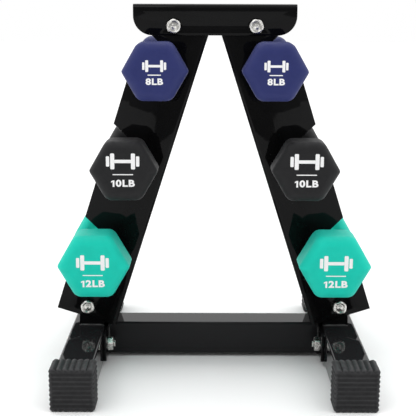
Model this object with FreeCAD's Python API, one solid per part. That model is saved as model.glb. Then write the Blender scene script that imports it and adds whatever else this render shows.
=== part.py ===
import FreeCAD, Part
import math
import os

# Three-tier dumbbell stand with six dumbbells. Millimetres, +Z up, front towards -Y.
# The origin is on the floor, midway between the feet.

# Square base tube
TUBE = 44.0
TUBE_WALL = 2.0
TUBE_CORNER = 3.5
TUBE_CENTRE_Z = 27.0
RAIL_X = 167.5
RAIL_HALF_LENGTH = 200.0

# Rubber sleeve feet on the rail ends
FOOT_WALL = 5.0
FOOT_END = 5.0
FOOT_LENGTH = 35.0
FOOT_CORNER = 4.0

# End flanges of the cross tube
FLANGE_T = 4.0
FLANGE_CORNER = 4.0
FLANGE_HALF_LENGTH = 61.0
FLANGE_BOTTOM = 7.0
FLANGE_TOP = 46.5
FLANGE_BOLT_Y = 43.0

# Folded sheet uprights; UPRIGHT_INNER_X is where the inner face, drawn on, meets the floor,
# and UPRIGHT_START is how far up the lean from there the sheet begins
SHEET = 3.0
BEND_OUTER = 5.0
LEAN = 17.75
UPRIGHT_WIDTH = 81.2
UPRIGHT_HALF_DEPTH = 36.0
UPRIGHT_INNER_X = 146.34
UPRIGHT_START = 51.8
UPRIGHT_TOP_Z = 451.0
UPRIGHT_STOCK = 482.0

# Cradle slots, cut inward and down from the outer edge
TIP_Z = (198.0, 320.0, 442.0)
SLOT_ANGLE = 45.0
SLOT_WIDTH = 42.0
SLOT_DEPTH = 45.0
SLOT_RUN_OUT = 90.0
CRADLE_GAP = 0.3

# Top cap
CAP_HALF_WIDTH = 102.4
CAP_TOP_Z = 470.0
CAP_BOTTOM_Z = 431.5
CAP_CORNER = 24.0

# Brackets that stand on the rails inside the uprights
BRACKET_INNER_X = 146.5
BRACKET_OUTER_X = 179.3
BRACKET_HEIGHT = 52.0
BRACKET_CORNER = 10.0

# Bolts and nuts, ten millimetre thread
BOLT_R = 5.0
HOLE_R = 5.5
HEX_FLATS = 17.0
HEAD_T = 6.4
HEAD_CHAMFER = 0.9
NUT_T = 8.0
NUT_BORE_R = 5.05
THREAD_END = 2.5
CAP_BOLT = (51.6, 442.9)
LEG_BOLT = (167.2, 76.1)

# Dumbbells, lowest tier first: flats of the head, overall length, length of one head,
# radius of the grip
DUMBBELL = {
    "12lb": (79.4, 218.0, 62.0, 18.0),
    "10lb": (74.0, 212.0, 59.0, 16.8),
    "8lb": (71.0, 202.0, 54.0, 15.5),
}
TIERS = ("12lb", "10lb", "8lb")
COAT = 2.0
HEAD_SIDE_ROUND = 7.0
HEAD_END_ROUND = 6.5

# How far a cutting shape runs past the faces that it cuts
PAST = 1.0
TOLERANCE = 1e-6

TAN_LEAN = math.tan(math.radians(LEAN))
COS_LEAN = math.cos(math.radians(LEAN))
UPRIGHT_OUTER_X = UPRIGHT_INNER_X + UPRIGHT_WIDTH / COS_LEAN
TUBE_TOP_Z = TUBE_CENTRE_Z + TUBE / 2
RAIL_INNER_X = RAIL_X - TUBE / 2
Vector = FreeCAD.Vector


def mirrored(shape):
    return shape.mirror(Vector(0, 0, 0), Vector(1, 0, 0))


def box(x0, x1, y0, y1, z0, z1):
    return Part.makeBox(x1 - x0, y1 - y0, z1 - z0, Vector(x0, y0, z0))


def rod(radius, start, end):
    direction = end.sub(start)
    return Part.makeCylinder(radius, direction.Length, start, direction)


def near(value, target):
    return abs(value - target) < TOLERANCE


def edges_along(shape, axis):
    """Straight edges of a shape that run along the axis."""
    found = []
    for edge in shape.Edges:
        run = edge.Vertexes[-1].Point.sub(edge.Vertexes[0].Point)
        if run.Length > TOLERANCE and run.normalize().cross(axis).Length < TOLERANCE:
            found.append(edge)
    return found


def rounded_bar(half_x, half_z, centre_z, y0, y1, radius):
    """Rectangular bar along Y with rounded long edges."""
    bar = box(-half_x, half_x, y0, y1, centre_z - half_z, centre_z + half_z)
    return bar.makeFillet(radius, edges_along(bar, Vector(0, 1, 0)))


def square_tube(y0, y1):
    """Square tube along Y, centred on x = 0."""
    half = TUBE / 2
    outer = rounded_bar(half, half, TUBE_CENTRE_Z, y0, y1, TUBE_CORNER)
    bore = half - TUBE_WALL
    inner = rounded_bar(bore, bore, TUBE_CENTRE_Z, y0 - PAST, y1 + PAST,
                        TUBE_CORNER - TUBE_WALL)
    return outer.cut(inner)


def flange_hole(y):
    start_x = RAIL_INNER_X - FLANGE_T - PAST
    end_x = RAIL_X + TUBE / 2 + PAST
    return rod(HOLE_R, Vector(start_x, y, TUBE_CENTRE_Z), Vector(end_x, y, TUBE_CENTRE_Z))


def rail():
    """Right base rail, open at both ends under the feet."""
    tube = square_tube(-RAIL_HALF_LENGTH, RAIL_HALF_LENGTH)
    tube.translate(Vector(RAIL_X, 0, 0))
    for y in (-FLANGE_BOLT_Y, FLANGE_BOLT_Y):
        tube = tube.cut(flange_hole(y))
    return tube


def cross_tube():
    half_length = RAIL_INNER_X - FLANGE_T
    tube = square_tube(-half_length, half_length)
    tube.rotate(Vector(0, 0, 0), Vector(0, 0, 1), 90)
    return tube


def flange():
    """Plate welded on the right end of the cross tube."""
    plate = box(RAIL_INNER_X - FLANGE_T, RAIL_INNER_X,
                -FLANGE_HALF_LENGTH, FLANGE_HALF_LENGTH, FLANGE_BOTTOM, FLANGE_TOP)
    plate = plate.makeFillet(FLANGE_CORNER, edges_along(plate, Vector(1, 0, 0)))
    for y in (-FLANGE_BOLT_Y, FLANGE_BOLT_Y):
        plate = plate.cut(flange_hole(y))
    return plate


def foot():
    """Front right rubber foot, a closed sleeve over the rail end."""
    half = TUBE / 2 + FOOT_WALL
    front = -RAIL_HALF_LENGTH - FOOT_END
    body = rounded_bar(half, half, TUBE_CENTRE_Z, front, front + FOOT_LENGTH, FOOT_CORNER)
    socket = rounded_bar(TUBE / 2, TUBE / 2, TUBE_CENTRE_Z,
                         -RAIL_HALF_LENGTH, front + FOOT_LENGTH + PAST, TUBE_CORNER)
    sleeve = body.cut(socket)
    sleeve.translate(Vector(RAIL_X, 0, 0))
    return sleeve


def upright_blank():
    """Sheet folded to a channel that is open on the outer side, leaned inward."""
    depth = UPRIGHT_HALF_DEPTH
    outer = box(0, UPRIGHT_WIDTH, -depth, depth, UPRIGHT_START, UPRIGHT_STOCK)
    bends = [e for e in edges_along(outer, Vector(0, 0, 1)) if near(e.CenterOfMass.x, 0)]
    outer = outer.makeFillet(BEND_OUTER, bends)
    hollow = box(SHEET, UPRIGHT_WIDTH + PAST, SHEET - depth, depth - SHEET,
                 UPRIGHT_START - PAST, UPRIGHT_STOCK + PAST)
    bends = [e for e in edges_along(hollow, Vector(0, 0, 1)) if near(e.CenterOfMass.x, SHEET)]
    hollow = hollow.makeFillet(BEND_OUTER - SHEET, bends)
    channel = outer.cut(hollow)
    channel.rotate(Vector(0, 0, 0), Vector(0, 1, 0), -LEAN)
    channel.translate(Vector(UPRIGHT_INNER_X, 0, 0))
    return channel


def tip_point(tip_z):
    return Vector(UPRIGHT_OUTER_X - TAN_LEAN * tip_z, 0, tip_z)


def slot_centre(tip_z):
    """Centre of the round end of the slot that starts at this height."""
    angle = math.radians(SLOT_ANGLE)
    inward = Vector(-math.cos(angle), 0, -math.sin(angle))
    across = Vector(math.sin(angle), 0, -math.cos(angle))
    return tip_point(tip_z).add(inward.multiply(SLOT_DEPTH)).add(across.multiply(SLOT_WIDTH / 2))


def slot_cutter(tip_z):
    centre = slot_centre(tip_z)
    reach = UPRIGHT_HALF_DEPTH + PAST
    half = SLOT_WIDTH / 2
    mouth = box(0, SLOT_RUN_OUT, -reach, reach, -half, half)
    mouth = mouth.fuse(rod(half, Vector(0, -reach, 0), Vector(0, reach, 0)))
    mouth.rotate(Vector(0, 0, 0), Vector(0, 1, 0), -SLOT_ANGLE)
    mouth.translate(centre)
    return mouth


def bolt_passage(place):
    """Clearance hole right through both sides at an (x, z) place."""
    reach = UPRIGHT_HALF_DEPTH + SHEET + PAST
    return rod(HOLE_R, Vector(place[0], -reach, place[1]), Vector(place[0], reach, place[1]))


def upright():
    """Right upright with its three cradle slots and two pairs of bolt holes."""
    depth = UPRIGHT_HALF_DEPTH + PAST
    above_top = box(-UPRIGHT_OUTER_X, UPRIGHT_OUTER_X, -depth, depth,
                    UPRIGHT_TOP_Z, UPRIGHT_STOCK + UPRIGHT_WIDTH)
    shape = upright_blank().cut(above_top)
    for tip_z in TIP_Z:
        shape = shape.cut(slot_cutter(tip_z))
    for place in (CAP_BOLT, LEG_BOLT):
        shape = shape.cut(bolt_passage(place))
    return shape


def cap():
    """Inverted channel over both uprights, lower corners of its sides well rounded."""
    depth = UPRIGHT_HALF_DEPTH + SHEET
    outer = box(-CAP_HALF_WIDTH, CAP_HALF_WIDTH, -depth, depth, CAP_BOTTOM_Z, CAP_TOP_Z)
    lower = [e for e in edges_along(outer, Vector(0, 1, 0)) if near(e.CenterOfMass.z, CAP_BOTTOM_Z)]
    outer = outer.makeFillet(CAP_CORNER, lower)
    bends = [e for e in edges_along(outer, Vector(1, 0, 0)) if near(e.CenterOfMass.z, CAP_TOP_Z)]
    outer = outer.makeFillet(BEND_OUTER, bends)
    inside = UPRIGHT_HALF_DEPTH
    inside_z = CAP_TOP_Z - SHEET
    hollow = box(-CAP_HALF_WIDTH - PAST, CAP_HALF_WIDTH + PAST, -inside, inside,
                 CAP_BOTTOM_Z - PAST, inside_z)
    bends = [e for e in edges_along(hollow, Vector(1, 0, 0)) if near(e.CenterOfMass.z, inside_z)]
    hollow = hollow.makeFillet(BEND_OUTER - SHEET, bends)
    shape = outer.cut(hollow)
    for side in (1, -1):
        shape = shape.cut(bolt_passage((side * CAP_BOLT[0], CAP_BOLT[1])))
    return shape


def bracket():
    """Right channel bracket, welded upright on the rail inside the foot of the upright."""
    depth = UPRIGHT_HALF_DEPTH - SHEET
    top_z = TUBE_TOP_Z + BRACKET_HEIGHT
    outer = box(BRACKET_INNER_X, BRACKET_OUTER_X, -depth, depth, TUBE_TOP_Z, top_z)
    corner = [e for e in edges_along(outer, Vector(0, 1, 0))
              if near(e.CenterOfMass.z, top_z) and near(e.CenterOfMass.x, BRACKET_OUTER_X)]
    outer = outer.makeFillet(BRACKET_CORNER, corner)
    hollow = box(BRACKET_INNER_X + SHEET, BRACKET_OUTER_X + PAST, SHEET - depth, depth - SHEET,
                 TUBE_TOP_Z - PAST, top_z + PAST)
    return outer.cut(hollow).cut(bolt_passage(LEG_BOLT))


def corner_radius(flats):
    """Distance from the middle of a hexagon to its corners."""
    return flats / 2 / math.cos(math.radians(30))


def hex_prism(flats, height):
    """Hexagonal prism on z = 0 with two flats facing +X and -X."""
    radius = corner_radius(flats)
    points = []
    for i in range(7):
        angle = math.radians(30 + 60 * i)
        points.append(Vector(radius * math.cos(angle), radius * math.sin(angle), 0))
    face = Part.Face(Part.makePolygon(points))
    return face.extrude(Vector(0, 0, height))


def bolt(shank):
    """Hex bolt: head above z = 0, shank below."""
    turned = Part.makeCylinder(corner_radius(HEX_FLATS), HEAD_T)
    rim = [e for e in turned.Edges if near(e.CenterOfMass.z, HEAD_T)]
    turned = turned.makeChamfer(HEAD_CHAMFER, rim)
    head = hex_prism(HEX_FLATS, HEAD_T).common(turned)
    return head.fuse(rod(BOLT_R, Vector(0, 0, 0), Vector(0, 0, -shank))).removeSplitter()


def nut():
    bore = rod(NUT_BORE_R, Vector(0, 0, -PAST), Vector(0, 0, NUT_T + PAST))
    return hex_prism(HEX_FLATS, NUT_T).cut(bore)


def placed(shape, axis, angle, position):
    copy = shape.copy()
    copy.rotate(Vector(0, 0, 0), axis, angle)
    copy.translate(position)
    return copy


def through_bolts(place, half_depth):
    """Right and left bolts from the front face at y = -half_depth to a nut on the rear."""
    shape = bolt(2 * half_depth + NUT_T + THREAD_END)
    return [placed(shape, Vector(1, 0, 0), 90, Vector(side * place[0], -half_depth, place[1]))
            for side in (1, -1)]


def rear_nuts(place, half_depth):
    return [placed(nut(), Vector(1, 0, 0), -90, Vector(side * place[0], half_depth, place[1]))
            for side in (1, -1)]


def flange_fasteners(shape, x):
    """Copies at the four flange holes, pointing outward from the stand."""
    out = []
    for y in (-FLANGE_BOLT_Y, FLANGE_BOLT_Y):
        out.append(placed(shape, Vector(0, 1, 0), 90, Vector(x, y, TUBE_CENTRE_Z)))
    return out + [mirrored(s) for s in out]


def head(flats, length, side_round, end_round):
    """Hexagonal dumbbell head on z = 0 with a flat facing +Y, all edges rounded."""
    prism = hex_prism(flats, length)
    prism.rotate(Vector(0, 0, 0), Vector(0, 0, 1), 30)
    prism = prism.makeFillet(side_round, edges_along(prism, Vector(0, 0, 1)))
    rims = [e for e in prism.Edges
            if near(e.CenterOfMass.z, 0) or near(e.CenterOfMass.z, length)]
    return prism.makeFillet(end_round, rims)


def dumbbell_solid(flats, length, head_length, grip_r, shrink):
    """Two heads on a round grip along Y; shrink draws every surface inward."""
    one = head(flats - 2 * shrink, head_length - 2 * shrink,
               HEAD_SIDE_ROUND - shrink, HEAD_END_ROUND - shrink)
    one.rotate(Vector(0, 0, 0), Vector(1, 0, 0), -90)
    one.translate(Vector(0, length / 2 - head_length + shrink, 0))
    other = one.mirror(Vector(0, 0, 0), Vector(0, 1, 0))
    inset = length / 2 - head_length / 2
    grip = rod(grip_r, Vector(0, -inset, 0), Vector(0, inset, 0))
    return one.fuse([other, grip]).removeSplitter()


def cradle_position(tier):
    """Centre of a dumbbell resting in the cradle of this tier, on the right."""
    grip_r = DUMBBELL[TIERS[tier]][3]
    drop = SLOT_WIDTH / 2 - grip_r - CRADLE_GAP
    return slot_centre(TIP_Z[tier]).sub(Vector(0, 0, drop))


def dumbbell(tier):
    """Iron core and neoprene coat of the right dumbbell on this tier."""
    flats, length, head_length, grip_r = DUMBBELL[TIERS[tier]]
    outer = dumbbell_solid(flats, length, head_length, grip_r, 0)
    core = dumbbell_solid(flats, length, head_length, grip_r - COAT, COAT)
    coat = outer.cut(core)
    position = cradle_position(tier)
    core.translate(position)
    coat.translate(position)
    return core, coat


def write(name, shapes):
    solids = []
    for shape in shapes:
        solids.extend(shape.Solids)
    for solid in solids:
        assert solid.isValid() and solid.Volume > 0, name
    out = solids[0] if len(solids) == 1 else Part.makeCompound(solids)
    out.exportStep("parts/" + name + ".step")


def write_pair(name, shape):
    write("right_" + name, [shape])
    write("left_" + name, [mirrored(shape)])


def write_base():
    write_pair("rail", rail())
    write("cross_tube", [cross_tube()])
    write_pair("flange", flange())
    write_pair("bracket", bracket())
    front = foot()
    write_pair("front_foot", front)
    write_pair("rear_foot", front.mirror(Vector(0, 0, 0), Vector(0, 1, 0)))


def write_fasteners():
    leg_half = UPRIGHT_HALF_DEPTH
    cap_half = UPRIGHT_HALF_DEPTH + SHEET
    write("leg_bolts", through_bolts(LEG_BOLT, leg_half))
    write("leg_nuts", rear_nuts(LEG_BOLT, leg_half))
    write("cap_bolts", through_bolts(CAP_BOLT, cap_half))
    write("cap_nuts", rear_nuts(CAP_BOLT, cap_half))
    shank = TUBE + FLANGE_T + NUT_T + THREAD_END
    write("flange_bolts", flange_fasteners(bolt(shank), RAIL_X + TUBE / 2))
    write("flange_nuts", flange_fasteners(nut(), RAIL_INNER_X - FLANGE_T - NUT_T))


def write_dumbbells():
    for tier, weight in enumerate(TIERS):
        core, coat = dumbbell(tier)
        write_pair(weight + "_core", core)
        write_pair(weight + "_coat", coat)


os.makedirs("parts", exist_ok=True)
write_base()
write_pair("upright", upright())
write("top_cap", [cap()])
write_fasteners()
write_dumbbells()
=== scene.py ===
"""Looks of the loaded dumbbell stand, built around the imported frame. Metres, front towards -Y."""
import math

import bmesh
import bpy
from mathutils import Matrix, Vector


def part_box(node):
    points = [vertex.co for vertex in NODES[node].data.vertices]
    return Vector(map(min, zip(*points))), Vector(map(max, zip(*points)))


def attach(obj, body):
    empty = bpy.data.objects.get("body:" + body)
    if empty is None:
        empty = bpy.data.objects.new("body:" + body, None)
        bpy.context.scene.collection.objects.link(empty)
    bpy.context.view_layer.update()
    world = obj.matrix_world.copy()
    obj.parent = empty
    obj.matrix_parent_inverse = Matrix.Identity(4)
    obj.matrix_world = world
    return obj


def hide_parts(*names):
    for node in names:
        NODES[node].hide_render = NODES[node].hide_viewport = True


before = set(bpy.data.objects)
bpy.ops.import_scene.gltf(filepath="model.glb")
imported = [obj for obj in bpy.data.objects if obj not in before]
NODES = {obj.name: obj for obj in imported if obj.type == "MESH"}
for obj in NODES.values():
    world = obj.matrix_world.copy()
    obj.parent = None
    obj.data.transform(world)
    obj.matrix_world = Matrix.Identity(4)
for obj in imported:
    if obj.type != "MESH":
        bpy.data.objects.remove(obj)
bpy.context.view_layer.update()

MM = 0.001
STAND = "stand"

# Camera at the photograph's viewing angle
CAMERA_PLACE = (-0.009, -1.286, 0.482)
CAMERA_TILT = 12.27
CAMERA_TURN = 0.04
CAMERA_ROLL = 0.19
SENSOR = 36.0
LENS = 85.1


# ---------------------------------------------------------------- node material helpers

def new_material(name):
    """A material with only its Principled shader and output; returns it with its node tree."""
    material = bpy.data.materials.new(name)
    material.use_nodes = True
    return material, material.node_tree, material.node_tree.nodes["Principled BSDF"]


def object_coordinates(tree):
    return tree.nodes.new("ShaderNodeTexCoord").outputs["Object"]


def noise(tree, scale, detail=3.0, roughness=0.5):
    """Noise in object space, scale in cells per metre."""
    node = tree.nodes.new("ShaderNodeTexNoise")
    tree.links.new(object_coordinates(tree), node.inputs["Vector"])
    node.inputs["Scale"].default_value = scale
    node.inputs["Detail"].default_value = detail
    node.inputs["Roughness"].default_value = roughness
    return node.outputs["Fac"]


def ramp(tree, value, low, high, out_low, out_high):
    """Maps a value between two limits to a number between two others."""
    node = tree.nodes.new("ShaderNodeMapRange")
    tree.links.new(value, node.inputs["Value"])
    node.inputs["From Min"].default_value = low
    node.inputs["From Max"].default_value = high
    node.inputs["To Min"].default_value = out_low
    node.inputs["To Max"].default_value = out_high
    return node.outputs["Result"]


def blend_colour(tree, factor, first, second):
    """Mixes two colours, each a tuple or a socket, by a factor."""
    node = tree.nodes.new("ShaderNodeMix")
    node.data_type = "RGBA"
    tree.links.new(factor, node.inputs["Factor"])
    for socket, colour in (("A", first), ("B", second)):
        if isinstance(colour, tuple):
            node.inputs[socket_index(node, socket)].default_value = (*colour, 1.0)
        else:
            tree.links.new(colour, node.inputs[socket_index(node, socket)])
    return node.outputs[2]


def socket_index(node, name):
    """Index of a mix node's colour input."""
    return [i for i, s in enumerate(node.inputs) if s.name == name and s.type == "RGBA"][0]


def bump(tree, shader, heights):
    """Chains bumps onto the shader; heights is a list of (value, strength, distance in metres)."""
    normal = None
    for value, strength, distance in heights:
        node = tree.nodes.new("ShaderNodeBump")
        node.inputs["Strength"].default_value = strength
        node.inputs["Distance"].default_value = distance
        tree.links.new(value, node.inputs["Height"])
        if normal is not None:
            tree.links.new(normal, node.inputs["Normal"])
        normal = node.outputs["Normal"]
    tree.links.new(normal, shader.inputs["Normal"])


def edge_mask(tree, low, high):
    """1 on convex edges, 0 on flats."""
    geometry = tree.nodes.new("ShaderNodeNewGeometry")
    return ramp(tree, geometry.outputs["Pointiness"], low, high, 0.0, 1.0)


# ---------------------------------------------------------------- materials

def black_paint(name, gloss):
    """Gloss black powder coat: faint orange peel, a painted highlight lightening the edges, a little
    dust.
    """
    material, tree, shader = new_material(name)
    # Convex edges are painted a lighter grey: a painted highlight along the edges.
    edge_lightening = edge_mask(tree, 0.53, 0.60)
    deep, pale = (0.0018, 0.0018, 0.0020), (0.0036, 0.0036, 0.0038)
    mottled = blend_colour(tree, noise(tree, 90.0), deep, pale)
    colour = blend_colour(tree, edge_lightening, mottled, (0.014, 0.014, 0.015))
    tree.links.new(colour, shader.inputs["Base Color"])
    smudge = ramp(tree, noise(tree, 28.0, 4.0, 0.6), 0.35, 0.75, 0.03, 0.09)
    tree.links.new(smudge, shader.inputs["Roughness"])
    shader.inputs["Specular IOR Level"].default_value = gloss
    bump(tree, shader, [(noise(tree, 260.0, 1.0), 0.03, 0.0004)])
    return material


def foot_rubber():
    """Dull charcoal rubber with moulding speckle and a painted highlight on the ridges."""
    material, tree, shader = new_material("foot_rubber")
    ridge = edge_mask(tree, 0.50, 0.58)
    deep, pale = (0.006, 0.006, 0.007), (0.020, 0.020, 0.021)
    base = blend_colour(tree, noise(tree, 260.0, 4.0, 0.6), deep, pale)
    # The ridges are painted a lighter grey: a painted highlight.
    ridge_highlight = blend_colour(tree, ridge, base, (0.070, 0.070, 0.073))
    tree.links.new(ridge_highlight, shader.inputs["Base Color"])
    tree.links.new(ramp(tree, noise(tree, 120.0), 0.3, 0.7, 0.55, 0.75), shader.inputs["Roughness"])
    shader.inputs["Specular IOR Level"].default_value = 0.25
    speckle = (noise(tree, 700.0, 3.0), 0.35, 0.0004)
    grain = (noise(tree, 2600.0, 2.0), 0.25, 0.0002)
    bump(tree, shader, [speckle, grain])
    return material


def zinc_steel():
    """Bright zinc plate: cloudy reflections, fine handling scratches, darker in the recesses and lighter
    on the edges.
    """
    material, tree, shader = new_material("zinc_steel")
    cloudy = blend_colour(tree, noise(tree, 300.0, 3.0), (0.60, 0.59, 0.56), (0.80, 0.79, 0.76))
    # Base colour darker in the recesses and lighter on the convex edges.
    darker_in_recesses = blend_colour(tree, edge_mask(tree, 0.40, 0.50), (0.20, 0.20, 0.19), cloudy)
    edge_lightening = blend_colour(tree, edge_mask(tree, 0.51, 0.60), darker_in_recesses, (0.92, 0.91, 0.88))
    tree.links.new(edge_lightening, shader.inputs["Base Color"])
    shader.inputs["Metallic"].default_value = 1.0
    tree.links.new(ramp(tree, noise(tree, 800.0, 4.0), 0.3, 0.7, 0.18, 0.36), shader.inputs["Roughness"])
    bump(tree, shader, [(noise(tree, 1500.0, 2.0), 0.15, 0.0002)])
    return material


def neoprene(name, colour):
    """Matte dipped coat: pebbled skin, slight cloudiness, a painted highlight a little lighter on its
    edges.
    """
    material, tree, shader = new_material(name)
    deep = tuple(0.86 * c for c in colour)
    pale = tuple(1.10 * c + 0.002 for c in colour)
    edge_highlight = tuple(1.12 * c + 0.008 for c in colour)
    cloudy = blend_colour(tree, noise(tree, 55.0, 4.0, 0.6), deep, pale)
    # Rounded edges are painted a lighter shade of the coat: a painted highlight.
    skin = blend_colour(tree, edge_mask(tree, 0.505, 0.56), cloudy, edge_highlight)
    tree.links.new(skin, shader.inputs["Base Color"])
    tree.links.new(ramp(tree, noise(tree, 180.0), 0.3, 0.7, 0.50, 0.66), shader.inputs["Roughness"])
    shader.inputs["Specular IOR Level"].default_value = 0.22
    shader.inputs["Sheen Weight"].default_value = 0.03
    shader.inputs["Sheen Roughness"].default_value = 0.5
    pebbles = (noise(tree, 1400.0, 2.0), 0.22, 0.00025)
    waves = (noise(tree, 240.0, 2.0), 0.10, 0.0006)
    bump(tree, shader, [pebbles, waves])
    return material


def white_print():
    """Screen-printed white ink, very slightly uneven."""
    material, tree, shader = new_material("white_print")
    ink = blend_colour(tree, noise(tree, 900.0, 3.0), (0.80, 0.80, 0.80), (0.90, 0.90, 0.90))
    tree.links.new(ink, shader.inputs["Base Color"])
    shader.inputs["Roughness"].default_value = 0.55
    bump(tree, shader, [(noise(tree, 2200.0, 2.0), 0.12, 0.0001)])
    return material


BLACK = black_paint("black_paint", 0.105)
WELD = black_paint("black_paint_on_weld", 0.6)
RUBBER = foot_rubber()
ZINC = zinc_steel()
PRINT = white_print()
COATS = {
    "12lb": neoprene("neoprene_12lb", (0.001, 0.550, 0.425)),
    "10lb": neoprene("neoprene_10lb", (0.008, 0.008, 0.009)),
    "8lb": neoprene("neoprene_8lb", (0.018, 0.025, 0.122)),
}


# ---------------------------------------------------------------- mesh helpers

def make_piece(name, verts, faces, material, body, smooth_angle):
    """A mesh piece that rides on a body; edges above the angle, in degrees, stay sharp."""
    mesh = bpy.data.meshes.new(name)
    mesh.from_pydata([tuple(v) for v in verts], [], faces)
    mesh.validate()
    return place_mesh(name, mesh, material, body, smooth_angle)


def paint(mesh, material):
    mesh.materials.clear()
    mesh.materials.append(material)


def place_mesh(name, mesh, material, body, smooth_angle):
    """Puts a finished mesh into the scene as a piece on a body, and returns the piece."""
    paint(mesh, material)
    shade(mesh, smooth_angle)
    piece = bpy.data.objects.new(name, mesh)
    bpy.context.scene.collection.objects.link(piece)
    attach(piece, body)
    return piece


def shade(mesh, angle):
    """Smooth shading with sharp edges above an angle, outward normals."""
    work = bmesh.new()
    work.from_mesh(mesh)
    bmesh.ops.recalc_face_normals(work, faces=work.faces)
    for face in work.faces:
        face.smooth = True
    for edge in work.edges:
        if len(edge.link_faces) == 2:
            edge.smooth = edge.calc_face_angle() < math.radians(angle)
    work.to_mesh(mesh)
    work.free()


def bridge(rings, close_start=True, close_end=True):
    """Vertices and quads of a skin over rings of equally many points, with fan ends."""
    count = len(rings[0])
    verts = [point for ring in rings for point in ring]
    faces = []
    for r in range(len(rings) - 1):
        for i in range(count):
            j = (i + 1) % count
            faces.append((r * count + i, r * count + j, (r + 1) * count + j, (r + 1) * count + i))
    if close_start:
        faces.append(tuple(range(count)))
    if close_end:
        last = (len(rings) - 1) * count
        faces.append(tuple(last + i for i in reversed(range(count))))
    return verts, faces


def join(parts):
    """One list of vertices and faces from several."""
    verts, faces = [], []
    for part_verts, part_faces in parts:
        base = len(verts)
        verts.extend(part_verts)
        faces.extend(tuple(base + i for i in face) for face in part_faces)
    return verts, faces


def moved(part, matrix):
    """The same vertices and faces, taken through a matrix."""
    verts, faces = part
    return [matrix @ Vector(v) for v in verts], faces


def smooth_step(t):
    """Eases from 0 to 1 as t goes from 0 to 1."""
    t = min(1.0, max(0.0, t))
    return t * t * (3 - 2 * t)


def polygon_radius(angle, flat, sides, corner):
    """Radius, at an angle, of a polygon with a flat facing angle 0 and rounded corners."""
    half = math.pi / sides
    phi = abs((angle + half) % (2 * half) - half)
    corner = min(corner, 0.98 * flat)
    cx = flat - corner
    cy = cx * math.tan(half)
    if flat * math.tan(phi) <= cy:
        return flat / math.cos(phi)
    offset = cx * math.sin(phi) - cy * math.cos(phi)
    return cx * math.cos(phi) + cy * math.sin(phi) + math.sqrt(max(0.0, corner ** 2 - offset ** 2))


# ---------------------------------------------------------------- steelwork

BEVEL_STEPS = 2
# Folds sharper than this many degrees get a bevel
SHARP_EDGE = 40.0
# Length of one ripple of a weld bead
RIPPLE = 2.6 * MM
BEAD_STEP = 0.5 * MM
BEAD_SIDES = 12
BRACKET_BEAD_R = 3.0 * MM
BRACKET_SIDE_BEAD_R = 0.9 * MM
BRACKET_SIDE_INSET = 0.4 * MM
TUBE_BEAD_R = 2.2 * MM
TUBE_BEAD_INSET = 3.0 * MM


def refined_copy(node, width):
    """A CAD sheet-metal node with its sharp cut edges broken by a small bevel."""
    mesh = NODES[node].data.copy()
    mesh.name = node + "_sheet"
    work = bmesh.new()
    work.from_mesh(mesh)
    bmesh.ops.remove_doubles(work, verts=work.verts, dist=1e-6)
    bmesh.ops.dissolve_limit(work, angle_limit=math.radians(1.0), verts=work.verts, edges=work.edges)
    folds = [e for e in work.edges if len(e.link_faces) == 2]
    sharp = [e for e in folds if e.calc_face_angle() > math.radians(SHARP_EDGE)]
    bmesh.ops.bevel(work, geom=sharp, offset=width, segments=BEVEL_STEPS, profile=0.5,
                    affect="EDGES", clamp_overlap=True)
    bmesh.ops.triangulate(work, faces=[f for f in work.faces if len(f.verts) > 4])
    work.to_mesh(mesh)
    work.free()
    piece = place_mesh(node + "_sheet", mesh, BLACK, STAND, 25.0)
    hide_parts(node)


def bead(start, end, out, radius):
    """Weld bead with overlapping ripples along a line, bulging towards out."""
    start, end, out = Vector(start), Vector(end), Vector(out).normalized()
    along = (end - start).normalized()
    side = along.cross(out)
    length = (end - start).length
    steps = max(6, int(length / BEAD_STEP))
    rings = []
    for k in range(steps + 1):
        s = length * k / steps
        taper = math.sqrt(max(0.02, min(1.0, min(s, length - s) / (1.6 * radius) + 0.02)))
        wave = 0.70 + 0.30 * abs(math.sin(math.pi * s / RIPPLE))
        r = radius * taper * wave
        lag = 0.5 * radius
        ring = []
        for i in range(BEAD_SIDES):
            a = 2 * math.pi * i / BEAD_SIDES
            bow = lag * (1 - math.cos(a) ** 2) * taper
            ring.append(start + along * (s - bow) + out * (r * math.cos(a)) + side * (r * math.sin(a)))
        rings.append(ring)
    return bridge(rings)


def bracket_beads(node):
    """Fillet welds along the front, rear and inner side of a bracket's foot."""
    low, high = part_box(node)
    outward = 1 if low.x > 0 else -1
    x_near, x_far = (low.x, high.x) if outward > 0 else (high.x, low.x)
    z = low.z
    parts = []
    for y, sign in ((low.y, -1), (high.y, 1)):
        parts.append(bead((x_near, y, z), (x_far, y, z), (0, sign, 1), BRACKET_BEAD_R))
    x = x_near + outward * BRACKET_SIDE_INSET
    parts.append(bead((x, low.y, z), (x, high.y, z), (-outward, 0, 1), BRACKET_SIDE_BEAD_R))
    verts, faces = join(parts)
    make_piece(node + "_weld", verts, faces, WELD, STAND, 60.0)


def cross_tube_beads():
    """Welds where the cross tube meets its end flanges."""
    low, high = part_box("cross_tube")
    r, inset = TUBE_BEAD_R, TUBE_BEAD_INSET
    parts = []
    for x, sign in ((low.x, 1), (high.x, -1)):
        for z, up in ((low.z, -1), (high.z, 1)):
            parts.append(bead((x, low.y + inset, z), (x, high.y - inset, z), (sign, 0, up), r))
        for y, front in ((low.y, -1), (high.y, 1)):
            parts.append(bead((x, y, low.z + inset), (x, y, high.z - inset), (sign, front, 0), r))
    verts, faces = join(parts)
    make_piece("cross_tube_weld", verts, faces, WELD, STAND, 60.0)


def build_steelwork():
    for side in ("left", "right"):
        refined_copy(side + "_upright", 0.45 * MM)
        refined_copy(side + "_flange", 0.5 * MM)
        refined_copy(side + "_bracket", 0.4 * MM)
        bracket_beads(side + "_bracket")
        paint(NODES[side + "_rail"].data, BLACK)
    refined_copy("top_cap", 0.45 * MM)
    paint(NODES["cross_tube"].data, BLACK)
    cross_tube_beads()


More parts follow.
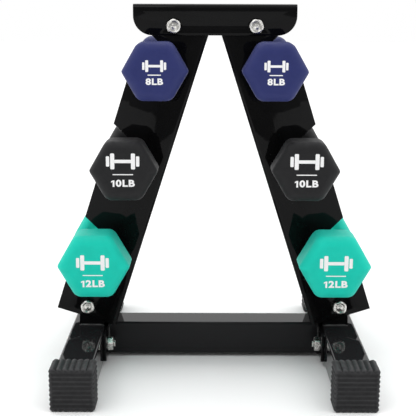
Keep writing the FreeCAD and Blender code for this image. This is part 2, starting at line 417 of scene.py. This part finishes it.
# ---------------------------------------------------------------- rubber feet

RIBS_ACROSS = 7
RIBS_UP_THE_SIDE = 9
FOOT_RIB_DEPTH = 2.0 * MM
FACE_RIB_PITCH = 6.0 * MM
FACE_RIB_DEPTH = 0.7 * MM
# Shape of a rib's crest: a lower value is rounder and wider, a higher one narrower
ROUND_RIB = 0.8
NARROW_RIB = 2.2
FOOT_CORNER = 4.0 * MM
FOOT_RIM = 1.8 * MM
SOCKET_CORNER = 3.5 * MM
LOOP_POINTS = 192


def square_loop(half, corner):
    """Points (x, z) at equal angles round a rounded square."""
    loop = []
    for i in range(LOOP_POINTS):
        angle = 2 * math.pi * i / LOOP_POINTS
        r = polygon_radius(angle, half, 4, corner)
        x, z = r * math.cos(angle), r * math.sin(angle)
        loop.append((x, z))
    return loop


def rib(distance, pitch, depth, shape):
    """Depth below the crest of a row of ribs at a distance from a crest; shape narrows the crest."""
    phase = math.pi * distance / pitch
    return depth * (1 - abs(math.cos(phase)) ** shape)


def ribbed_section(half):
    """Square section with rounded ribs on all four sides."""
    points = []
    for x, z in square_loop(half, FOOT_CORNER):
        flat = max(abs(x), abs(z))
        along, ribs = (z, RIBS_UP_THE_SIDE) if abs(x) >= abs(z) else (x, RIBS_ACROSS)
        away_from_corner = smooth_step((half - abs(along)) / (2.5 * MM))
        dip = rib(along, 2 * half / ribs, FOOT_RIB_DEPTH, ROUND_RIB) * away_from_corner
        scale = (flat - dip) / flat
        points.append((x * scale, z * scale))
    return points


def square_grid(size, steps):
    """Inner points of a square grid, and the number of each border point on a ring at equal angles."""
    line = [size * math.tan(math.pi / 4 * k / steps) for k in range(-steps, steps + 1)]
    inner = range(-steps + 1, steps)
    places = {(a, b): (line[a + steps], line[b + steps]) for a in inner for b in inner}
    index = {}
    for k in range(-steps, steps + 1):
        index[(steps, k)] = k % (8 * steps)
        index[(k, steps)] = 2 * steps - k
        index[(-steps, k)] = 4 * steps - k
        index[(k, -steps)] = 6 * steps + k
    return places, index


def foot_mesh(centre, half, socket_half, front_y, back_y, socket_y):
    """Closed sleeve: ribbed outside, ridged end face, square socket."""
    sign = 1 if back_y > front_y else -1
    outline = ribbed_section(half)
    middle = half / 2

    def face_point(x, z, edge):
        depth = rib(z, FACE_RIB_PITCH, FACE_RIB_DEPTH, NARROW_RIB) * edge
        return (x * (1 - FOOT_RIM / half), front_y + sign * depth, z * (1 - FOOT_RIM / half))

    def sleeve_ring(inset, y):
        return [(x * (1 - inset / half), y, z * (1 - inset / half)) for x, z in outline]

    rings = []
    for step in range(12):
        share = step / 12.0
        edge = smooth_step((1 - share) * (half - middle) / (3.0 * MM))
        ring = []
        for x, z in outline:
            inward = middle / max(abs(x), abs(z)) * (1 - share) + share
            ring.append(face_point(x * inward, z * inward, edge))
        rings.append(ring)
    for k in range(1, 5):
        a = math.pi / 2 * k / 4
        y = front_y + sign * FOOT_RIM * (1 - math.cos(a))
        rings.append(sleeve_ring(FOOT_RIM * (1 - math.sin(a)), y))
    length = abs(back_y - front_y)
    for k in range(1, 9):
        rings.append(sleeve_ring(0.0, front_y + sign * (FOOT_RIM + (length - 2 * FOOT_RIM) * k / 8)))
    rings.append(sleeve_ring(0.6 * MM, back_y - sign * 0.5 * MM))
    rings.append(sleeve_ring(1.2 * MM, back_y))
    socket = square_loop(socket_half, SOCKET_CORNER)
    for y in (back_y, socket_y):
        rings.append([(x, y, z) for x, z in socket])
    verts, faces = bridge(rings, close_start=False)
    places, index = square_grid(middle, LOOP_POINTS // 8)
    for cell in sorted(places):
        index[cell] = len(verts)
        verts.append(face_point(*places[cell], 1.0))
    faces.extend((index[(a, b)], index[(a + 1, b)], index[(a + 1, b + 1)], index[(a, b + 1)])
                 for a, b in sorted(index) if (a + 1, b + 1) in index)
    return [(centre.x + x, y, centre.z + z) for x, y, z in verts], faces


def build_feet():
    for side in ("left", "right"):
        rail_low, rail_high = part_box(side + "_rail")
        for end in ("front", "rear"):
            node = "%s_%s_foot" % (side, end)
            low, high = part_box(node)
            centre = (low + high) / 2
            half = (high.x - low.x) / 2
            socket_half = (rail_high.x - rail_low.x) / 2
            if end == "front":
                front_y, back_y, socket_y = low.y, high.y, rail_low.y
            else:
                front_y, back_y, socket_y = high.y, low.y, rail_high.y
            verts, faces = foot_mesh(centre, half, socket_half, front_y, back_y, socket_y)
            piece = make_piece(node + "_ribbed", verts, faces, RUBBER, STAND, 50.0)
            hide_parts(node)


# ---------------------------------------------------------------- bolts and nuts

HEX_HALF_FLATS = 8.5 * MM
HEAD_HEIGHT = 6.4 * MM
NUT_HEIGHT = 8.0 * MM
THREAD_R = 5.0 * MM
THREAD_PITCH = 1.5 * MM
THREAD_DEPTH = 0.85 * MM
HEX_CORNER = 2.6 * MM
ROW_THREAD_LENGTH = 24.0 * MM
FLANGE_THREAD_LENGTH = 20.0 * MM
TIP_PAST_NUT = 2.5 * MM
ROUND_STEPS = 72


def hex_ring(z, limit=1.0):
    """Hexagon ring cut by a turned chamfer of radius limit; without one, nothing is cut."""
    ring = []
    for i in range(ROUND_STEPS):
        a = 2 * math.pi * i / ROUND_STEPS
        r = min(limit, polygon_radius(a, HEX_HALF_FLATS, 6, HEX_CORNER))
        ring.append((r * math.cos(a), r * math.sin(a), z))
    return ring


def round_ring(radius, z):
    return [(radius * math.cos(2 * math.pi * i / ROUND_STEPS),
             radius * math.sin(2 * math.pi * i / ROUND_STEPS), z) for i in range(ROUND_STEPS)]


def bolt_head():
    """Forged hex head: washer face, chamfered corners, raised rim and dished centre."""
    top = HEAD_HEIGHT
    rings = [round_ring(4.0 * MM, 0.0), round_ring(8.0 * MM, 0.0), round_ring(8.2 * MM, 0.3 * MM),
             hex_ring(0.5 * MM, 9.0 * MM), hex_ring(1.5 * MM), hex_ring(top - 2.0 * MM)]
    for limit, z in ((9.15, 1.5), (8.8, 1.0), (8.4, 0.55), (8.0, 0.25), (7.5, 0.06)):
        rings.append(hex_ring(top - z * MM, limit * MM))
    for radius, drop in ((7.0, 0.0), (6.6, 0.06), (6.2, 0.35), (5.9, 1.0), (5.6, 1.5), (5.2, 1.7),
                         (3.2, 1.6), (2.6, 1.3), (1.6, 1.0), (0.8, 0.9)):
        rings.append(round_ring(radius * MM, top - drop * MM))
    return bridge(rings)


def threads(start, end):
    """Threaded rod between two heights, closed, with a chamfered tip at the higher end."""
    root = THREAD_R - THREAD_DEPTH
    rings = [round_ring(root, start)]
    turns = int((end - start - 1.0 * MM) / THREAD_PITCH)
    for k in range(turns):
        base = start + k * THREAD_PITCH
        for share, radius in ((0.10, root), (0.42, THREAD_R), (0.58, THREAD_R), (0.90, root)):
            rings.append(round_ring(radius, base + share * THREAD_PITCH))
    rings.append(round_ring(root, end - 0.9 * MM))
    rings.append(round_ring(THREAD_R - 0.3 * MM, end - 0.7 * MM))
    rings.append(round_ring(THREAD_R - 1.0 * MM, end))
    rings.append(round_ring(1.0 * MM, end - 0.15 * MM))
    return bridge(rings)


def shank(length):
    """Plain rod below a head; it starts a little inside the head."""
    return bridge([round_ring(THREAD_R, z) for z in (0.5 * MM, 0.0, -length)])


def bolt_part(under_head, thread_length):
    """Bolt along Z: head above 0, plain shank then thread below."""
    flip = Matrix.Rotation(math.pi, 4, "X")
    plain = under_head - thread_length
    tip = moved(threads(plain, under_head), flip)
    return join([bolt_head(), shank(plain), tip])


def nut_part():
    """Hex nut on z = 0 with chamfered corners and a countersunk bore."""
    top = NUT_HEIGHT
    rings = [round_ring(THREAD_R + 0.05 * MM, 0.8 * MM), round_ring(THREAD_R + 0.8 * MM, 0.0),
             round_ring(7.9 * MM, 0.0), hex_ring(0.4 * MM, 8.7 * MM), hex_ring(1.1 * MM, 9.4 * MM),
             hex_ring(1.6 * MM), hex_ring(top - 1.6 * MM), hex_ring(top - 1.1 * MM, 9.4 * MM),
             hex_ring(top - 0.4 * MM, 8.7 * MM), round_ring(7.9 * MM, top),
             round_ring(THREAD_R + 0.8 * MM, top), round_ring(THREAD_R + 0.05 * MM, top - 0.8 * MM)]
    verts, faces = bridge(rings, False, False)
    last = (len(rings) - 1) * ROUND_STEPS
    for i in range(ROUND_STEPS):
        j = (i + 1) % ROUND_STEPS
        faces.append((last + i, last + j, j, i))
    return verts, faces


def pointing(direction, place, turn):
    """Matrix that takes +Z to a direction, after a turn about it."""
    spin = Matrix.Rotation(math.radians(turn), 4, "Z")
    aim = Vector((0, 0, 1)).rotation_difference(Vector(direction)).to_matrix().to_4x4()
    return Matrix.Translation(Vector(place)) @ aim @ spin


def build_row_fasteners(name, turns):
    """Bolts that run front to back through both sides, and their nuts."""
    low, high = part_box(name + "_bolts")
    nut_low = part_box(name + "_nuts")[0]
    z = (low.z + high.z) / 2
    face_y = low.y + HEAD_HEIGHT
    bolts, nuts = [], []
    reach = high.y - face_y
    x_far = (high.x - low.x) / 2 - HEX_HALF_FLATS
    for side, turn in zip((-1, 1), turns):
        x = side * x_far
        bolt = bolt_part(reach, ROW_THREAD_LENGTH)
        bolts.append(moved(bolt, pointing((0, -1, 0), (x, face_y, z), turn)))
        nuts.append(moved(nut_part(), pointing((0, 1, 0), (x, nut_low.y, z), turn + 10)))
    finish_fasteners(name, bolts, nuts)


def build_flange_fasteners():
    """Bolts through the rails from their outer faces, nuts on the flanges."""
    low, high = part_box("flange_bolts")
    flange_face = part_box("flange_nuts")[1].x
    z = (low.z + high.z) / 2
    head_face = high.x - HEAD_HEIGHT
    reach = head_face - (flange_face - NUT_HEIGHT - TIP_PAST_NUT)
    y_far = (high.y - low.y) / 2 - HEX_HALF_FLATS / math.cos(math.radians(30))
    bolts, nuts = [], []
    turn = 20
    for side in (-1, 1):
        for y in (-y_far, y_far):
            turn += 23
            bolt = bolt_part(reach, FLANGE_THREAD_LENGTH)
            bolts.append(moved(bolt, pointing((side, 0, 0), (side * head_face, y, z), turn)))
            nut_place = pointing((-side, 0, 0), (side * flange_face, y, z), turn + 8)
            nuts.append(moved(nut_part(), nut_place))
    finish_fasteners("flange", bolts, nuts)


def finish_fasteners(name, bolts, nuts):
    """Makes one piece of all bolts and one of all nuts."""
    for word, parts in (("bolts", bolts), ("nuts", nuts)):
        verts, faces = join(parts)
        piece = make_piece("%s_%s_detail" % (name, word), verts, faces, ZINC, STAND, 28.0)
        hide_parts("%s_%s" % (name, word))


# ---------------------------------------------------------------- dumbbells

HEAD_STEPS = 120
HEAD_CORNER = 13.0 * MM
HEAD_SIDE_CORNER = 3.5 * MM
FRONT_ROUND = 12.0 * MM
BACK_ROUND = 12.0 * MM
BACK_LENGTH = 20.0 * MM
GRIP_R = {"12lb": 18.0 * MM, "10lb": 16.8 * MM, "8lb": 15.5 * MM}
NECK = 4.0 * MM
HEAD_INNER_Y = 47.0 * MM
# Depth of the front rounding against its width
FRONT_CROWN = 0.95
INK = 0.12 * MM
MARK_LIFT = 0.10 * MM
LETTER_STRETCH = 1.2
LETTER_SPACE = 1.12
# Height of a capital against the font's size
CAPITAL_SHARE = 0.72

# Sign width and height on the face, letter height and its place, rule width and its place
MARKS = {
    "12lb": (41.0 * MM, 7.2 * MM, 8.4 * MM, -20.0 * MM, 25.0 * MM, -9.0 * MM),
    "10lb": (41.0 * MM, 13.5 * MM, 8.2 * MM, -14.0 * MM, 25.0 * MM, -2.8 * MM),
    "8lb": (29.0 * MM, 7.5 * MM, 7.4 * MM, -11.4 * MM, 16.0 * MM, -3.2 * MM),
}


def head_radius(angle, half_flats, inset):
    """Rounded hexagon with flats up and down; its left and right corners are crisper."""
    sideways = abs(math.cos(angle)) ** 6
    corner = HEAD_CORNER + (HEAD_SIDE_CORNER - HEAD_CORNER) * sideways
    corner = max(1.5 * MM, corner - 0.6 * inset)
    return polygon_radius(angle - math.pi / 2, half_flats - inset, 6, corner)


def head_ring(half_flats, inset, y, centre, shrink=1.0):
    ring = []
    for i in range(HEAD_STEPS):
        a = 2 * math.pi * i / HEAD_STEPS
        r = head_radius(a, half_flats, inset) * shrink
        ring.append((centre.x + r * math.cos(a), y, centre.z + r * math.sin(a)))
    return ring


def neck_ring(half_flats, grip_r, share, y, centre):
    """Ring between the head's hexagon (share 0) and the grip's circle (share 1)."""
    ring = []
    for i in range(HEAD_STEPS):
        a = 2 * math.pi * i / HEAD_STEPS
        r = head_radius(a, half_flats, BACK_ROUND) * (1 - share) + (grip_r + NECK) * share
        ring.append((centre.x + r * math.cos(a), y, centre.z + r * math.sin(a)))
    return ring


def grip_ring(radius, y, centre):
    return [(centre.x + radius * math.cos(2 * math.pi * i / HEAD_STEPS), y,
             centre.z + radius * math.sin(2 * math.pi * i / HEAD_STEPS)) for i in range(HEAD_STEPS)]


def half_rings(centre, half_flats, half_length, grip_r, side):
    """Rings of one half, from its end face to the middle of the grip; side is -1 for the front."""
    rings = []
    for shrink in (0.05, 0.2, 0.4, 0.6, 0.8, 0.92):
        rings.append(head_ring(half_flats, FRONT_ROUND, half_length, centre, shrink))
    rings.append(head_ring(half_flats, FRONT_ROUND, half_length, centre))
    for k in range(1, 9):
        a = math.pi / 2 * k / 8
        y = half_length - FRONT_ROUND * (1 - math.cos(a)) * FRONT_CROWN
        rings.append(head_ring(half_flats, FRONT_ROUND * (1 - math.sin(a)), y, centre))
    back = HEAD_INNER_Y + BACK_LENGTH
    front = half_length - FRONT_ROUND * FRONT_CROWN
    for k in range(1, 7):
        share = k / 6
        inset = 0.25 * MM * (1 - math.sin(math.pi * share)) if k < 6 else 0.0
        rings.append(head_ring(half_flats, inset, front + (back - front) * share, centre))
    for k in range(1, 10):
        a = math.pi / 2 * k / 9
        y = back - BACK_LENGTH * math.sin(a)
        rings.append(head_ring(half_flats, BACK_ROUND * (1 - math.cos(a)), y, centre))
    for share in (0.25, 0.5, 0.75, 1.0):
        rings.append(neck_ring(half_flats, grip_r, share, HEAD_INNER_Y, centre))
    for k in range(1, 7):
        a = math.pi / 2 * k / 6
        radius = grip_r + NECK * (1 - math.sin(a))
        rings.append(grip_ring(radius, HEAD_INNER_Y - NECK * (1 - math.cos(a)), centre))
    rings.append(grip_ring(grip_r, HEAD_INNER_Y - 2 * NECK, centre))
    rings.append(grip_ring(grip_r, 0.5 * HEAD_INNER_Y, centre))
    return [[(x, centre.y + side * y, z) for x, y, z in ring] for ring in rings]


def coat_mesh(centre, half_flats, half_length, grip_r):
    """Both dipped heads and the grip between them, as one closed skin."""
    front = half_rings(centre, half_flats, half_length, grip_r, -1)
    rear = half_rings(centre, half_flats, half_length, grip_r, 1)
    return bridge(front + rear[::-1])


def slab(outline, depth):
    """Thin plate from a flat outline of (x, z) points; its face is at y = 0, its back at depth."""
    count = len(outline)
    front = [(x, 0.0, z) for x, z in outline]
    back = [(x, depth, z) for x, z in outline]
    faces = [tuple(range(count)), tuple(reversed(range(count, 2 * count)))]
    for i in range(count):
        j = (i + 1) % count
        faces.append((i, count + i, count + j, j))
    return front + back, faces


def rounded_rectangle(cx, cz, half_x, half_z, corner):
    outline = []
    for quarter, (sx, sz) in enumerate(((1, 1), (-1, 1), (-1, -1), (1, -1))):
        for k in range(5):
            a = math.pi / 2 * (quarter + k / 4)
            outline.append((cx + sx * (half_x - corner) + corner * math.cos(a),
                            cz + sz * (half_z - corner) + corner * math.sin(a)))
    return outline


def pictogram(width):
    """Plain dumbbell sign: a bar with two plates at each end."""
    unit = width / 26.0
    outlines = [rounded_rectangle(0, 0, 6.5 * unit, 1.3 * unit, 0.4 * unit)]
    for side in (-1, 1):
        outlines.append(rounded_rectangle(side * 8.0 * unit, 0, 1.6 * unit, 6.2 * unit, 0.8 * unit))
        outlines.append(rounded_rectangle(side * 11.6 * unit, 0, 1.3 * unit, 4.0 * unit, 0.7 * unit))
    return join([slab(outline, INK) for outline in outlines])


def word_mesh(words, height):
    """Flat lettering of a given capital height, centred, facing -Y."""
    curve = bpy.data.curves.new("lettering", "FONT")
    curve.body = words
    curve.align_x = "CENTER"
    curve.align_y = "CENTER"
    curve.size = height / CAPITAL_SHARE
    curve.space_character = LETTER_SPACE
    curve.offset = 0.055 * height
    curve.extrude = INK / 2
    curve.resolution_u = 4
    holder = bpy.data.objects.new("lettering", curve)
    bpy.context.scene.collection.objects.link(holder)
    bpy.context.view_layer.update()
    mesh = bpy.data.meshes.new_from_object(holder)
    stand_up = Matrix.Rotation(math.pi / 2, 4, "X")
    verts = [stand_up @ v.co for v in mesh.vertices]
    faces = [tuple(p.vertices) for p in mesh.polygons]
    bpy.data.objects.remove(holder)
    bpy.data.curves.remove(curve)
    bpy.data.meshes.remove(mesh)
    return verts, faces


def numeral_one(height):
    """A 1 with a flag, its stem on the left of the rest of the number."""
    stem = ((-0.22, 0.0), (0.0, 0.0), (0.0, 1.0), (-0.19, 1.0))
    flag = ((-0.42, 0.84), (-0.42, 0.64), (-0.22, 0.77))
    points = [(x * height, (z - 0.5) * height) for x, z in stem + flag]
    return moved(slab(points, INK), Matrix.Translation((0, -INK / 2, 0)))


def weight_mesh(words, height):
    """The weight's lettering, centred; a leading 1 is drawn with its flag."""
    if not words.startswith("1"):
        return word_mesh(words, height)
    rest = word_mesh(words[1:], height)
    one = numeral_one(height)
    gap = 0.16 * height
    left = min(point[0] for point in rest[0])
    one = moved(one, Matrix.Translation((left - gap, 0, 0)))
    both = join([one, rest])
    xs = [point[0] for point in both[0]]
    return moved(both, Matrix.Translation((-(min(xs) + max(xs)) / 2, 0, 0)))


def print_mesh(weight):
    """Marks of one end: sign, rule and weight, one above the other."""
    sign_width, sign_z, letter_height, letter_z, rule_width, rule_z = MARKS[weight]
    sign = moved(pictogram(sign_width), Matrix.Translation((0, 0, sign_z)))
    rule = slab(rounded_rectangle(0, rule_z, rule_width / 2, 0.6 * MM, 0.4 * MM), INK)
    letter_place = Matrix.Translation((0, 0, letter_z)) @ Matrix.Diagonal((LETTER_STRETCH, 1, 1, 1))
    words = moved(weight_mesh(weight.upper(), letter_height), letter_place)
    return join([sign, rule, words])


def build_dumbbell(side, weight):
    """The dipped skin of one dumbbell, and its marks on both ends."""
    name = "%s_%s" % (side, weight)
    low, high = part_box(name + "_coat")
    centre = (low + high) / 2
    half_flats = (high.z - low.z) / 2
    half_length = (high.y - low.y) / 2
    body = name + "_dumbbell"
    verts, faces = coat_mesh(centre, half_flats, half_length, GRIP_R[weight])
    piece = make_piece(name + "_dipped_coat", verts, faces, COATS[weight], body, 60.0)
    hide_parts(name + "_coat", name + "_core")
    marks = print_mesh(weight)
    ends = []
    for y, turn in ((-half_length - MARK_LIFT, 0.0), (half_length + MARK_LIFT, math.pi)):
        place = Matrix.Translation(centre + Vector((0, y, 0))) @ Matrix.Rotation(turn, 4, "Z")
        ends.append(moved(marks, place))
    verts, faces = join(ends)
    make_piece(name + "_marks", verts, faces, PRINT, body, 30.0)


def build_dumbbells():
    for side in ("left", "right"):
        for weight in ("12lb", "10lb", "8lb"):
            build_dumbbell(side, weight)


# ---------------------------------------------------------------- stage, lights, camera

FRONT_LIGHT = 0.34
ZENITH_LIGHT = 1.80
DIM_UP_TO = -0.75
WHITE_FROM = -0.22
LIT_POINT = (0, 0, 0.25)
FLOOR_Z = -0.0002
FLOOR_SIDES = 96


def build_floor():
    """Pale studio floor that fades into the surroundings."""
    rings = []
    for radius in (0.02, 0.4, 1.0, 2.0, 4.0, 9.0):
        turns = [2 * math.pi * i / FLOOR_SIDES for i in range(FLOOR_SIDES)]
        rings.append([(radius * math.cos(a), radius * math.sin(a), FLOOR_Z) for a in turns])
    verts, faces = bridge(rings, True, False)
    mesh = bpy.data.meshes.new("floor")
    mesh.from_pydata(verts, [], faces)
    floor = bpy.data.objects.new("floor", mesh)
    bpy.context.scene.collection.objects.link(floor)
    material, _, shader = new_material("floor")
    shader.inputs["Base Color"].default_value = (0.97, 0.97, 0.97, 1.0)
    shader.inputs["Roughness"].default_value = 0.85
    shader.inputs["Specular IOR Level"].default_value = 0.1
    mesh.materials.append(material)


def area_light(name, place, size, power):
    """A rectangular lamp that points at the stand."""
    data = bpy.data.lights.new(name, "AREA")
    data.shape = "RECTANGLE"
    data.size, data.size_y = size
    data.energy = power
    lamp = bpy.data.objects.new(name, data)
    lamp.location = place
    lamp.rotation_euler = (Vector(LIT_POINT) - Vector(place)).to_track_quat("-Z", "Y").to_euler()
    bpy.context.scene.collection.objects.link(lamp)


def build_world():
    """Studio surroundings: white behind and above, dim on the camera's side."""
    world = bpy.data.worlds.new("studio")
    world.use_nodes = True
    tree = world.node_tree
    split = tree.nodes.new("ShaderNodeSeparateXYZ")
    tree.links.new(tree.nodes.new("ShaderNodeTexCoord").outputs["Generated"], split.inputs["Vector"])
    depth = ramp(tree, split.outputs["Y"], DIM_UP_TO, WHITE_FROM, FRONT_LIGHT, 1.0)
    height = ramp(tree, split.outputs["Z"], 0.0, 1.0, 1.0, ZENITH_LIGHT)
    product = tree.nodes.new("ShaderNodeMath")
    product.operation = "MULTIPLY"
    tree.links.new(depth, product.inputs[0])
    tree.links.new(height, product.inputs[1])
    background = tree.nodes["Background"]
    background.inputs["Color"].default_value = (1.0, 1.0, 1.0, 1.0)
    tree.links.new(product.outputs[0], background.inputs["Strength"])
    bpy.context.scene.world = world


def build_lights():
    area_light("key", (-0.9, -1.6, 1.9), (0.7, 0.6), 4.5)
    area_light("fill", (1.3, -1.3, 1.2), (0.5, 0.6), 1.5)


def build_camera():
    data = bpy.data.cameras.new("camera")
    data.sensor_width = SENSOR
    data.lens = LENS
    camera = bpy.data.objects.new("camera", data)
    turn = Matrix.Rotation(math.radians(-CAMERA_TURN), 4, "Z")
    tilt = Matrix.Rotation(math.radians(90 - CAMERA_TILT), 4, "X")
    roll = Matrix.Rotation(math.radians(CAMERA_ROLL), 4, "Z")
    camera.matrix_world = Matrix.Translation(CAMERA_PLACE) @ turn @ tilt @ roll
    bpy.context.scene.collection.objects.link(camera)
    bpy.context.scene.camera = camera


build_camera()
build_floor()
build_world()
build_lights()
build_steelwork()
build_feet()
build_row_fasteners("leg", (14, -9))
build_row_fasteners("cap", (5, 22))
build_flange_fasteners()
build_dumbbells()
bpy.context.scene.view_settings.view_transform = "Standard"
